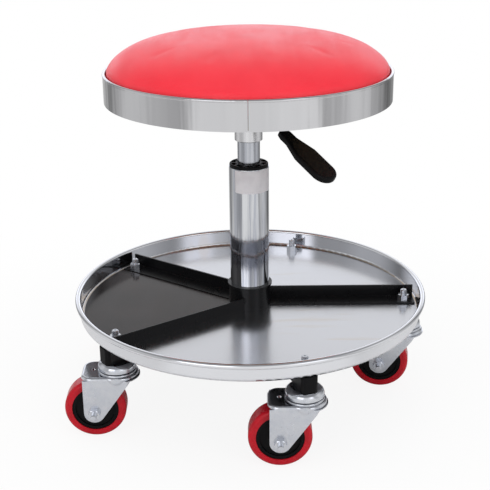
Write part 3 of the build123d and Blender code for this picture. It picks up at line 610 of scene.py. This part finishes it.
finishes["satin_steel"] = satin_metal("satin_steel", (0.52, 0.535, 0.575, 1), (0.42, 0.435, 0.475, 1),
                                      0.17, 0.25)
collar_steel = satin_metal("collar_steel", (0.74, 0.74, 0.755, 1), (0.66, 0.66, 0.68, 1), 0.24, 0.34)


# %% Bearing steel and brass
def ground_metal(name, pale, deep, low, high):
    """A small turned or ground metal part, with fine lines and a faint change of tone."""
    material, tree, shader, place = start_finish(name, Metallic=1.0)
    fine = use_group(tree, brushed_lines, Vector=place, Along=(300, 300, 4000), Low=low, High=high)
    shade = remap(tree, noise(tree, place, 120.0, 3.0), 0.3, 0.7)
    connect(tree, shader, blend_colours(tree, shade, pale, deep), fine["Roughness"])
    emboss(tree, shader, fine["Height"], 0.008 * mm)
    return material


finishes["bearing_steel"] = ground_metal("bearing_steel", (0.62, 0.62, 0.63, 1), (0.52, 0.52, 0.54, 1),
                                         0.12, 0.22)
finishes["valve_brass"] = ground_metal("valve_brass", (0.62, 0.45, 0.18, 1), (0.48, 0.33, 0.12, 1),
                                       0.18, 0.30)

# %% Red vinyl
material, tree, shader, place = start_finish("red_vinyl", Specular_IOR_Level=0.5)
shade = remap(tree, noise(tree, place, 26.0, 4.0, 0.55), 0.3, 0.7)
tint = blend_colours(tree, shade, (0.88, 0.020, 0.040, 1), (0.84, 0.015, 0.034, 1))
dusty = use_group(tree, settled_dust, Vector=place, Amount=0.03)["Mask"]
tint = blend_colours(tree, dusty, tint, (0.95, 0.55, 0.55, 1))
wiped = use_group(tree, wipe_marks, Vector=place, Scale=16.0, Low=0.30, High=0.42)["Value"]
connect(tree, shader, tint, wiped)
cells = use_group(tree, vinyl_grain, Vector=place, Scale=820.0)["Height"]
emboss(tree, shader, cells, 0.07 * mm)
finishes["red_vinyl"] = material

# %% Red tyre
material, tree, shader, place = start_finish("red_tyre", Specular_IOR_Level=0.24)
shade = remap(tree, noise(tree, place, 80.0, 4.0, 0.6), 0.3, 0.7)
tint = blend_colours(tree, shade, (0.50, 0.006, 0.017, 1), (0.40, 0.005, 0.013, 1))
scuffed = use_group(tree, hair_scratches, Vector=place, Scale=26.0, Amount=0.03)["Mask"]
dusty = use_group(tree, settled_dust, Vector=place, Amount=0.006)["Mask"]
film = calculate(tree, "MAXIMUM", scuffed, dusty)
tint = blend_colours(tree, film, tint, (0.46, 0.10, 0.11, 1))
rough = use_group(tree, wipe_marks, Vector=place, Scale=50.0, Low=0.18, High=0.28)["Value"]
connect(tree, shader, tint, calculate(tree, "ADD", rough, scuffed))
grain = use_group(tree, fine_grain, Vector=place, Scale=900.0)["Height"]
emboss(tree, shader, grain, 0.04 * mm)
finishes["red_tyre"] = material

# %% Black plastic
material, tree, shader, place = start_finish("black_plastic", Specular_IOR_Level=0.09)
worn = use_group(tree, edge_wear, Vector=place, Width=0.8 * mm, Amount=0.08)["Mask"]
dusty = use_group(tree, settled_dust, Vector=place, Amount=0.015)["Mask"]
tint = blend_colours(tree, calculate(tree, "MAXIMUM", worn, dusty), (0.0042, 0.0042, 0.0048, 1),
                     (0.16, 0.16, 0.165, 1))
rough = use_group(tree, wipe_marks, Vector=place, Scale=60.0, Low=0.38, High=0.50)["Value"]
connect(tree, shader, tint, rough)
pebbles = use_group(tree, fine_grain, Vector=place, Scale=1300.0)["Height"]
emboss(tree, shader, pebbles, 0.06 * mm)
finishes["black_plastic"] = material

# %% Dark mat of the left tray section
material, tree, shader, place = start_finish("dark_mat", Specular_IOR_Level=0.24)
shade = remap(tree, noise(tree, place, 14.0, 3.0, 0.5), 0.35, 0.65)
tint = blend_colours(tree, shade, (0.0075, 0.0048, 0.0050, 1), (0.016, 0.010, 0.010, 1))
dusty = use_group(tree, settled_dust, Vector=place, Amount=0.04)["Mask"]
tint = blend_colours(tree, dusty, tint, (0.35, 0.33, 0.31, 1))
wiped = use_group(tree, wipe_marks, Vector=place, Scale=10.0, Low=0.09, High=0.20)["Value"]
connect(tree, shader, tint, wiped)
grain = use_group(tree, fine_grain, Vector=place, Scale=700.0)["Height"]
emboss(tree, shader, grain, 0.03 * mm)
finishes["dark_mat"] = material

# %% Rubber, foam and plywood
material, tree, shader, place = start_finish("buffer_rubber", Specular_IOR_Level=0.3)
shade = remap(tree, noise(tree, place, 200.0, 4.0), 0.3, 0.7)
tint = blend_colours(tree, shade, (0.012, 0.012, 0.012, 1), (0.03, 0.03, 0.029, 1))
connect(tree, shader, tint, remap(tree, shade, 0.0, 1.0, 0.6, 0.8))
emboss(tree, shader, shade, 0.05 * mm)
finishes["buffer_rubber"] = material

material, tree, shader, place = start_finish("cushion_foam", Roughness=0.9)
pores = add_node(tree, "ShaderNodeTexVoronoi", Vector=place, Scale=700.0).outputs["Distance"]
tree.links.new(blend_colours(tree, pores, (0.62, 0.52, 0.30, 1), (0.80, 0.72, 0.48, 1)),
               shader.inputs["Base Color"])
emboss(tree, shader, pores, 0.4 * mm)
finishes["cushion_foam"] = material

material, tree, shader, place = start_finish("seat_plywood", Specular_IOR_Level=0.3)
grain = noise(tree, stretch(tree, place, (14, 260, 260)), 1.0, 5.0, 0.6)
figure = noise(tree, stretch(tree, place, (3, 30, 30)), 1.0, 2.0, 0.5)
mixed = calculate(tree, "MULTIPLY_ADD", grain, 0.6, calculate(tree, "MULTIPLY", figure, 0.4))
mixed = remap(tree, mixed, 0.35, 0.65)
tint = blend_colours(tree, mixed, (0.52, 0.33, 0.16, 1), (0.66, 0.46, 0.25, 1))
connect(tree, shader, tint, remap(tree, grain, 0.3, 0.7, 0.55, 0.75))
emboss(tree, shader, grain, 0.15 * mm)
finishes["seat_plywood"] = material
print("finishes:", sorted(finishes))

# %% [markdown]
# ## Giving the CAD parts their finishes
#
# A CAD part arrives with a plain material that is named after its finish. We look that name
# up and put the real finish in its slot; the mesh itself isn't touched.

# %% Dress the CAD parts
dressed = 0
for part in nodes.values():
    for material_slot in part.material_slots:
        name = material_slot.material.name.split(".")[0]
        if name in finishes and material_slot.material is not finishes[name]:
            material_slot.material = finishes[name]
            dressed += 1
nodes["seat_socket"].material_slots[0].material = collar_steel
print("slots dressed:", dressed)

# %% [markdown]
# ## The seat cushion
#
# The cushion is foam under stretched vinyl, drawn in where it dips behind the band's rolled
# edge. A turned shape would look like a plate, so we let cloth do the work: an even mesh is
# laid on the CAD foam, the part inside the band is pinned, and air pressure swells the
# rest against the pull of the vinyl. How far a point may move is capped, so that the
# cushion keeps its size. Last, the vinyl gathers very slightly all round the band.

# %% Lay an even mesh on the foam
cover_skin = 1.2 * mm
ring_count = 40
segment_count = 144
foam_tree = BVHTree.FromObject(nodes["seat_foam"], bpy.context.evaluated_depsgraph_get())
heart = Vector((0, 0, band_top))
half_width = 170 * mm
half_rise = crown_top - band_top


def foam_point(slope, angle):
    """Where a line from the foam's middle leaves it, one skin further out."""
    out = Vector((half_width * math.cos(slope) * math.cos(angle),
                  half_width * math.cos(slope) * math.sin(angle), half_rise * math.sin(slope)))
    hit, normal, _, _ = foam_tree.ray_cast(heart, out.normalized())
    normal = normal if normal.dot(out) > 0 else -normal
    return hit + normal * cover_skin


cushion_mesh = bpy.data.meshes.new("seat_cushion")
form = bmesh.new()
top_point = form.verts.new(foam_point(math.pi / 2, 0))
rings = []
lowest_slope = -0.16
for ring in range(1, ring_count + 1):
    slope = math.pi / 2 + (lowest_slope - math.pi / 2) * ring / ring_count
    rings.append([form.verts.new(foam_point(slope, 2 * math.pi * step / segment_count))
                  for step in range(segment_count)])
print("cushion rings:", len(rings), "lowest at", round(rings[-1][0].co.z, 4))

# %% Close the mesh down to the board
side_radius = Vector((rings[-1][0].co.x, rings[-1][0].co.y)).length
underside = board_top + 0.3 * mm
corner_round = 1.5 * mm
side_middle = 413 * mm
for radius, height in ((side_radius, side_middle), (side_radius, board_top + corner_round),
                       (side_radius - corner_round, underside), (150 * mm, underside),
                       (100 * mm, underside), (50 * mm, underside)):
    rings.append([form.verts.new((radius * math.cos(2 * math.pi * step / segment_count),
                                  radius * math.sin(2 * math.pi * step / segment_count), height))
                  for step in range(segment_count)])
bottom_point = form.verts.new((0, 0, underside))
for step in range(segment_count):
    after = (step + 1) % segment_count
    form.faces.new((top_point, rings[0][step], rings[0][after]))
    form.faces.new((bottom_point, rings[-1][after], rings[-1][step]))
    for upper, lower in zip(rings, rings[1:]):
        form.faces.new((upper[step], lower[step], lower[after], upper[after]))
bmesh.ops.recalc_face_normals(form, faces=form.faces)
form.to_mesh(cushion_mesh)
form.free()
cushion = add_object("seat_cushion", cushion_mesh)
rest_shape = [vertex.co.copy() for vertex in cushion_mesh.vertices]
print("cushion faces:", len(cushion_mesh.polygons))

# %% Swell it with cloth
swell_cap = 1.2 * mm
swell_frames = 20
pin_height = band_top - 1 * mm


def swell(piece):
    """Blow the free part of a closed mesh up with the cloth solver."""
    pinned = piece.vertex_groups.new(name="held_by_band")
    held = [vertex.index for vertex in piece.data.vertices if vertex.co.z < pin_height]
    pinned.add(held, 1.0, "REPLACE")
    cloth = piece.modifiers.new("vinyl", "CLOTH")
    settings = cloth.settings
    settings.quality = 6
    settings.mass = 0.4
    settings.tension_stiffness = 40
    settings.compression_stiffness = 40
    settings.bending_stiffness = 4
    settings.use_pressure = True
    settings.uniform_pressure_force = 4
    settings.vertex_group_mass = pinned.name
    settings.effector_weights.gravity = 0
    cloth.point_cache.frame_start = 1
    cloth.point_cache.frame_end = swell_frames
    scene = bpy.context.scene
    for number in range(1, swell_frames + 1):
        scene.frame_set(number)
    evaluated = piece.evaluated_get(bpy.context.evaluated_depsgraph_get())
    moved = [vertex.co.copy() for vertex in evaluated.data.vertices]
    piece.modifiers.remove(cloth)
    scene.frame_set(1)
    piece.vertex_groups.clear()
    return moved


shape = swell(cushion)
largest = 0.0
for vertex, rest, goal in zip(cushion_mesh.vertices, rest_shape, shape):
    step = goal - rest
    largest = max(largest, step.length)
    if step.length > swell_cap:
        step = step * (swell_cap / step.length)
    vertex.co = rest + step
print("largest cloth move:", round(largest, 5))

# %% Gather the vinyl at the band, and finish the cushion
gather_depth = 0.35 * mm
gather_height = 9 * mm
fold_count = 47
for vertex in cushion_mesh.vertices:
    above_band = (vertex.co.z - (band_top - 4 * mm)) / gather_height
    if 0 < above_band < 1:
        angle = math.atan2(vertex.co.y, vertex.co.x)
        fold = math.sin(fold_count * angle + 2.2 * math.sin(5 * angle)) * math.sin(9 * angle + 1.1)
        fade = math.sin(math.pi * above_band) ** 2
        vertex.co *= 1 - gather_depth * abs(fold) * fade / half_width
smooth(cushion_mesh)
soften = cushion.modifiers.new("soften", "SUBSURF")
soften.levels = 1
soften.render_levels = 1
cushion_mesh.materials.append(finishes["red_vinyl"])
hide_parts("seat_cover", "seat_foam")
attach(cushion, "seat")
print("cushion ready")

# %% [markdown]
# ## Small repeated details
#
# Screw threads, weld beads and staples repeat by a rule, so Geometry Nodes make them. A
# tree takes its sizes from named inputs, and a fixed seed keeps its chance the same at each
# run. The tree's result is then turned into a plain mesh, which is what we keep.


# %% Helpers for Geometry Nodes
def new_shape_tree(name, inputs):
    """A Geometry Nodes tree with named inputs; returns (tree, inputs, outputs)."""
    tree = bpy.data.node_groups.new(name, "GeometryNodeTree")
    kinds = {float: "NodeSocketFloat", int: "NodeSocketInt"}
    tree.interface.new_socket("Geometry", in_out="INPUT", socket_type="NodeSocketGeometry")
    for socket_name, default in inputs:
        socket = tree.interface.new_socket(socket_name, in_out="INPUT", socket_type=kinds[type(default)])
        socket.default_value = default
    tree.interface.new_socket("Finish", in_out="INPUT", socket_type="NodeSocketMaterial")
    tree.interface.new_socket("Geometry", in_out="OUTPUT", socket_type="NodeSocketGeometry")
    return tree, add_node(tree, "NodeGroupInput").outputs, add_node(tree, "NodeGroupOutput").inputs


def end_tree(tree, given, gives, instances):
    """Realise the instances, smooth them, give them their finish and send them out."""
    real = add_node(tree, "GeometryNodeRealizeInstances", Geometry=instances).outputs[0]
    shaded = add_node(tree, "GeometryNodeSetShadeSmooth", Geometry=real).outputs[0]
    done = add_node(tree, "GeometryNodeSetMaterial", Geometry=shaded, Material=given["Finish"])
    tree.links.new(done.outputs[0], gives[0])


def angle_by_number(tree, count):
    """Each point's turn when a count of points shares a full circle."""
    share = calculate(tree, "DIVIDE", 2 * math.pi, count)
    number = add_node(tree, "GeometryNodeInputIndex").outputs[0]
    return calculate(tree, "MULTIPLY", number, share)


def wire_along(tree, curve, radius, caps=False):
    """A round wire along a curve."""
    profile = add_node(tree, "GeometryNodeCurvePrimitiveCircle", Resolution=6, Radius=radius).outputs[0]
    return add_node(tree, "GeometryNodeCurveToMesh", Curve=curve, Profile_Curve=profile,
                    Fill_Caps=caps).outputs[0]


def grow(name, tree, finish, points=(), edges=(), **sizes):
    """Run a tree on a small guide mesh and keep its result as a plain mesh object."""
    guide_mesh = bpy.data.meshes.new(name + "_guide")
    guide_mesh.from_pydata(list(points) or [(0, 0, 0)], list(edges), [])
    guide = add_object(name + "_guide", guide_mesh)
    modifier = guide.modifiers.new("grow", "NODES")
    modifier.node_group = tree
    sizes = {"Finish": finish, **{key.replace("_", " "): value for key, value in sizes.items()}}
    for socket in tree.interface.items_tree:
        if socket.in_out == "INPUT" and socket.name in sizes:
            modifier[socket.identifier] = sizes[socket.name]
    grown = bpy.data.meshes.new_from_object(guide.evaluated_get(bpy.context.evaluated_depsgraph_get()))
    grown.name = name
    bpy.data.objects.remove(guide)
    piece = add_object(name, grown)
    print(name, "faces:", len(grown.polygons))
    return piece


# %% Threads on the five caster stems
thread_tree, given, gives = new_shape_tree(
    "stem_threads",
    [("Stems", 5), ("Circle", 200 * mm), ("Radius", 4 * mm), ("Pitch", 1.25 * mm), ("Turns", 6.0),
     ("Wire", 0.3 * mm), ("Height", 130 * mm)],
)
rise = calculate(thread_tree, "MULTIPLY", given["Pitch"], given["Turns"])
helix = add_node(thread_tree, "GeometryNodeCurveSpiral", Resolution=20, Rotations=given["Turns"],
                 Start_Radius=given["Radius"], End_Radius=given["Radius"], Height=rise).outputs[0]
helix = wire_along(thread_tree, helix, given["Wire"])
spot = join(thread_tree, X=given["Circle"], Z=given["Height"])
helix = add_node(thread_tree, "GeometryNodeTransform", Geometry=helix, Translation=spot).outputs[0]
stems = add_node(thread_tree, "GeometryNodePoints", Count=given["Stems"]).outputs[0]
facing = join(thread_tree, Z=angle_by_number(thread_tree, given["Stems"]))
copies = add_node(thread_tree, "GeometryNodeInstanceOnPoints", Points=stems, Instance=helix,
                  Rotation=facing).outputs[0]
end_tree(thread_tree, given, gives, copies)
threads = grow("stem_threads", thread_tree, finishes["zinc_plate"], Stems=arm_count, Circle=caster_circle,
               Height=tray_floor + 8.3 * mm)
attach(threads, "base")

# %% [markdown]
# ## Weld beads
#
# The arms and the black divider strips are welded to the hub sleeve. A weld is a row of
# small overlapping blobs. We draw the seams as bare edges, let the tree walk along them and
# drop a blob at each step, each a little different.

# %% Weld beads at the hub
weld_tree, given, gives = new_shape_tree(
    "weld_beads", [("Bead", 1.2 * mm), ("Step", 1.1 * mm), ("Seed", 4)])
seam = add_node(weld_tree, "GeometryNodeMeshToCurve", Mesh=given["Geometry"]).outputs[0]
walked = add_node(weld_tree, "GeometryNodeResampleCurve", {"mode": "LENGTH"}, Curve=seam,
                  Length=given["Step"]).outputs[0]
blob = add_node(weld_tree, "GeometryNodeMeshIcoSphere", Radius=given["Bead"], Subdivisions=2)
chance = add_node(weld_tree, "FunctionNodeRandomValue", {"data_type": "FLOAT_VECTOR"},
                  i0=(0.75, 0.75, 0.75), i1=(1.25, 1.25, 1.25), Seed=given["Seed"]).outputs[0]
spin = add_node(weld_tree, "FunctionNodeRandomValue", {"data_type": "FLOAT_VECTOR"}, i0=(0, 0, 0),
                i1=(6.2, 6.2, 6.2), Seed=given["Seed"]).outputs[0]
blobs = add_node(weld_tree, "GeometryNodeInstanceOnPoints", Points=walked, Instance=blob.outputs[0],
                 Rotation=spin, Scale=chance).outputs[0]
end_tree(weld_tree, given, gives, blobs)

arm_half = 10 * mm
arm_low, weld_high = 98.5 * mm, 117.5 * mm
strip_side = 17 * mm
strip_low, strip_high = tray_floor + 10 * mm, tray_floor + 16 * mm
seams = []
for number in range(arm_count):
    reach_in = math.sqrt(sleeve_radius ** 2 - arm_half ** 2)
    corners = [(reach_in, -arm_half, weld_high), (reach_in, -arm_half, arm_low), (sleeve_radius, 0, arm_low),
               (reach_in, arm_half, arm_low), (reach_in, arm_half, weld_high)]
    seams.append((360 / arm_count * number, corners))
for degrees, side in ((0, strip_side), (144, -strip_side), (216, strip_side)):
    reach_in = math.sqrt(sleeve_radius ** 2 - side ** 2)
    seams.append((degrees, [(reach_in, side, strip_low), (reach_in, side, strip_high)]))
seam_points, seam_edges = [], []
for degrees, corners in seams:
    spun = Matrix.Rotation(math.radians(degrees), 3, "Z")
    first_index = len(seam_points)
    seam_points += [spun @ Vector(corner) for corner in corners]
    seam_edges += [(first_index + n, first_index + n + 1) for n in range(len(corners) - 1)]
welds = grow("hub_welds", weld_tree, finishes["black_paint"], seam_points, seam_edges)
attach(welds, "base")

# %% [markdown]
# ## The cover's hem and its staples
#
# Seen from below, the vinyl is folded under the seat board and stapled to it, just inside
# the steel band. The hem is a thin ring with small pleats where the round cover is gathered;
# the staples stand on a circle in it, each turned a hair differently.

# %% Hem
hem_outer = 167.6 * mm
hem_inner = 148 * mm
hem_steps = 360
pleat_turns = 30
hem_mesh = bpy.data.meshes.new("cover_hem")
form = bmesh.new()
hem_rings = []
for share, drop in ((0.0, 0.9), (0.04, 1.0), (0.35, 0.9), (0.7, 0.8), (0.96, 0.8), (1.0, 0.1)):
    ring = []
    for step in range(hem_steps):
        angle = 2 * math.pi * step / hem_steps
        pleat = abs(math.sin(pleat_turns * angle + 0.8 * math.sin(3 * angle))) ** 3
        radius = hem_outer + (hem_inner - hem_outer) * share
        radius += 0.9 * mm * share * math.sin(17 * angle + 1.3 * math.sin(2 * angle))
        height = board_bottom - (drop + 0.7 * pleat * (1 - share) * min(1, 8 * share)) * mm
        ring.append(form.verts.new((radius * math.cos(angle), radius * math.sin(angle), height)))
    hem_rings.append(ring)
hem_top = board_bottom - 0.05 * mm
for edge in (hem_rings[-1], hem_rings[0]):
    hem_rings.append([form.verts.new((v.co.x, v.co.y, hem_top)) for v in edge])
hem_rings.append(hem_rings[0])
for lower, upper in zip(hem_rings, hem_rings[1:]):
    for step in range(hem_steps):
        after = (step + 1) % hem_steps
        form.faces.new((lower[step], lower[after], upper[after], upper[step]))
bmesh.ops.recalc_face_normals(form, faces=form.faces)
form.to_mesh(hem_mesh)
form.free()
smooth(hem_mesh)
hem_mesh.materials.append(finishes["red_vinyl"])
hem = add_object("cover_hem", hem_mesh)
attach(hem, "seat")
print("hem faces:", len(hem_mesh.polygons))

# %% Staples
staple_tree, given, gives = new_shape_tree(
    "hem_staples",
    [("Count", 44), ("Circle", 155 * mm), ("Width", 11 * mm), ("Wire", 0.55 * mm), ("Height", 390 * mm),
     ("Seed", 7)],
)
half = calculate(staple_tree, "MULTIPLY", given["Width"], 0.5)
start = join(staple_tree, Y=calculate(staple_tree, "MULTIPLY", half, -1.0))
middle = join(staple_tree, Z=calculate(staple_tree, "MULTIPLY", given["Wire"], -1.2))
end = join(staple_tree, Y=half)
crown = add_node(staple_tree, "GeometryNodeCurveQuadraticBezier", Resolution=8, Start=start,
                 Middle=middle, End=end).outputs[0]
staple = wire_along(staple_tree, crown, given["Wire"], caps=True)
ring = add_node(staple_tree, "GeometryNodeMeshCircle", Vertices=given["Count"],
                Radius=given["Circle"]).outputs[0]
angle = angle_by_number(staple_tree, given["Count"])
askew = add_node(staple_tree, "FunctionNodeRandomValue", {"data_type": "FLOAT"}, i2=-0.16, i3=0.16,
                 Seed=given["Seed"]).outputs[1]
facing = join(staple_tree, Z=calculate(staple_tree, "ADD", angle, askew))
copies = add_node(staple_tree, "GeometryNodeInstanceOnPoints", Points=ring, Instance=staple,
                  Rotation=facing).outputs[0]
lift = join(staple_tree, Z=given["Height"])
copies = add_node(staple_tree, "GeometryNodeTransform", Geometry=copies, Translation=lift).outputs[0]
end_tree(staple_tree, given, gives, copies)
staples = grow("hem_staples", staple_tree, finishes["zinc_plate"], Height=board_bottom - 1.2 * mm)
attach(staples, "seat")

# %% [markdown]
# ## Blank sticker
#
# A pale paper sticker is wrapped around the top of the column. It carries nothing here: only
# its paper, its rounded corners and its thickness are modelled.

# %% Sticker
material, tree, shader, place = start_finish("sticker_paper", Specular_IOR_Level=0.4)
fibres = noise(tree, place, 900.0, 4.0, 0.7)
cloudy = noise(tree, place, 60.0, 3.0, 0.5)
tint = blend_colours(tree, remap(tree, cloudy, 0.3, 0.7), (0.66, 0.65, 0.68, 1), (0.58, 0.57, 0.60, 1))
connect(tree, shader, tint, remap(tree, cloudy, 0.3, 0.7, 0.28, 0.4))
emboss(tree, shader, fibres, 0.02 * mm)
sticker_low, sticker_high = 276 * mm, 305 * mm
sticker_left, sticker_right = math.radians(-132.8), math.radians(-14)
sticker_lift = 0.05 * mm
corner = 2.2 * mm
rows, columns = 24, 60
height = sticker_high - sticker_low
width = (sticker_right - sticker_left) * column_radius
points, faces = [], []
for row in range(rows + 1):
    rise = height * (0.5 - 0.5 * math.cos(math.pi * row / rows))
    inset = max(0, corner - min(rise, height - rise))
    trim = corner - math.sqrt(max(0, corner ** 2 - inset ** 2))
    for column in range(columns + 1):
        along = trim + (width - 2 * trim) * column / columns
        angle = sticker_left + along / column_radius
        radius = column_radius + sticker_lift
        points.append((radius * math.cos(angle), radius * math.sin(angle), sticker_low + rise))
for row in range(rows):
    for column in range(columns):
        start = row * (columns + 1) + column
        faces.append((start, start + 1, start + columns + 2, start + columns + 1))
sticker_mesh = bpy.data.meshes.new("blank_sticker")
sticker_mesh.from_pydata(points, [], faces)
smooth(sticker_mesh)
sticker_mesh.materials.append(material)
sticker = add_object("blank_sticker", sticker_mesh)
thick = sticker.modifiers.new("paper", "SOLIDIFY")
thick.thickness = 0.12 * mm
thick.offset = 1
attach(sticker, "base")
print("sticker width:", round(width, 4))
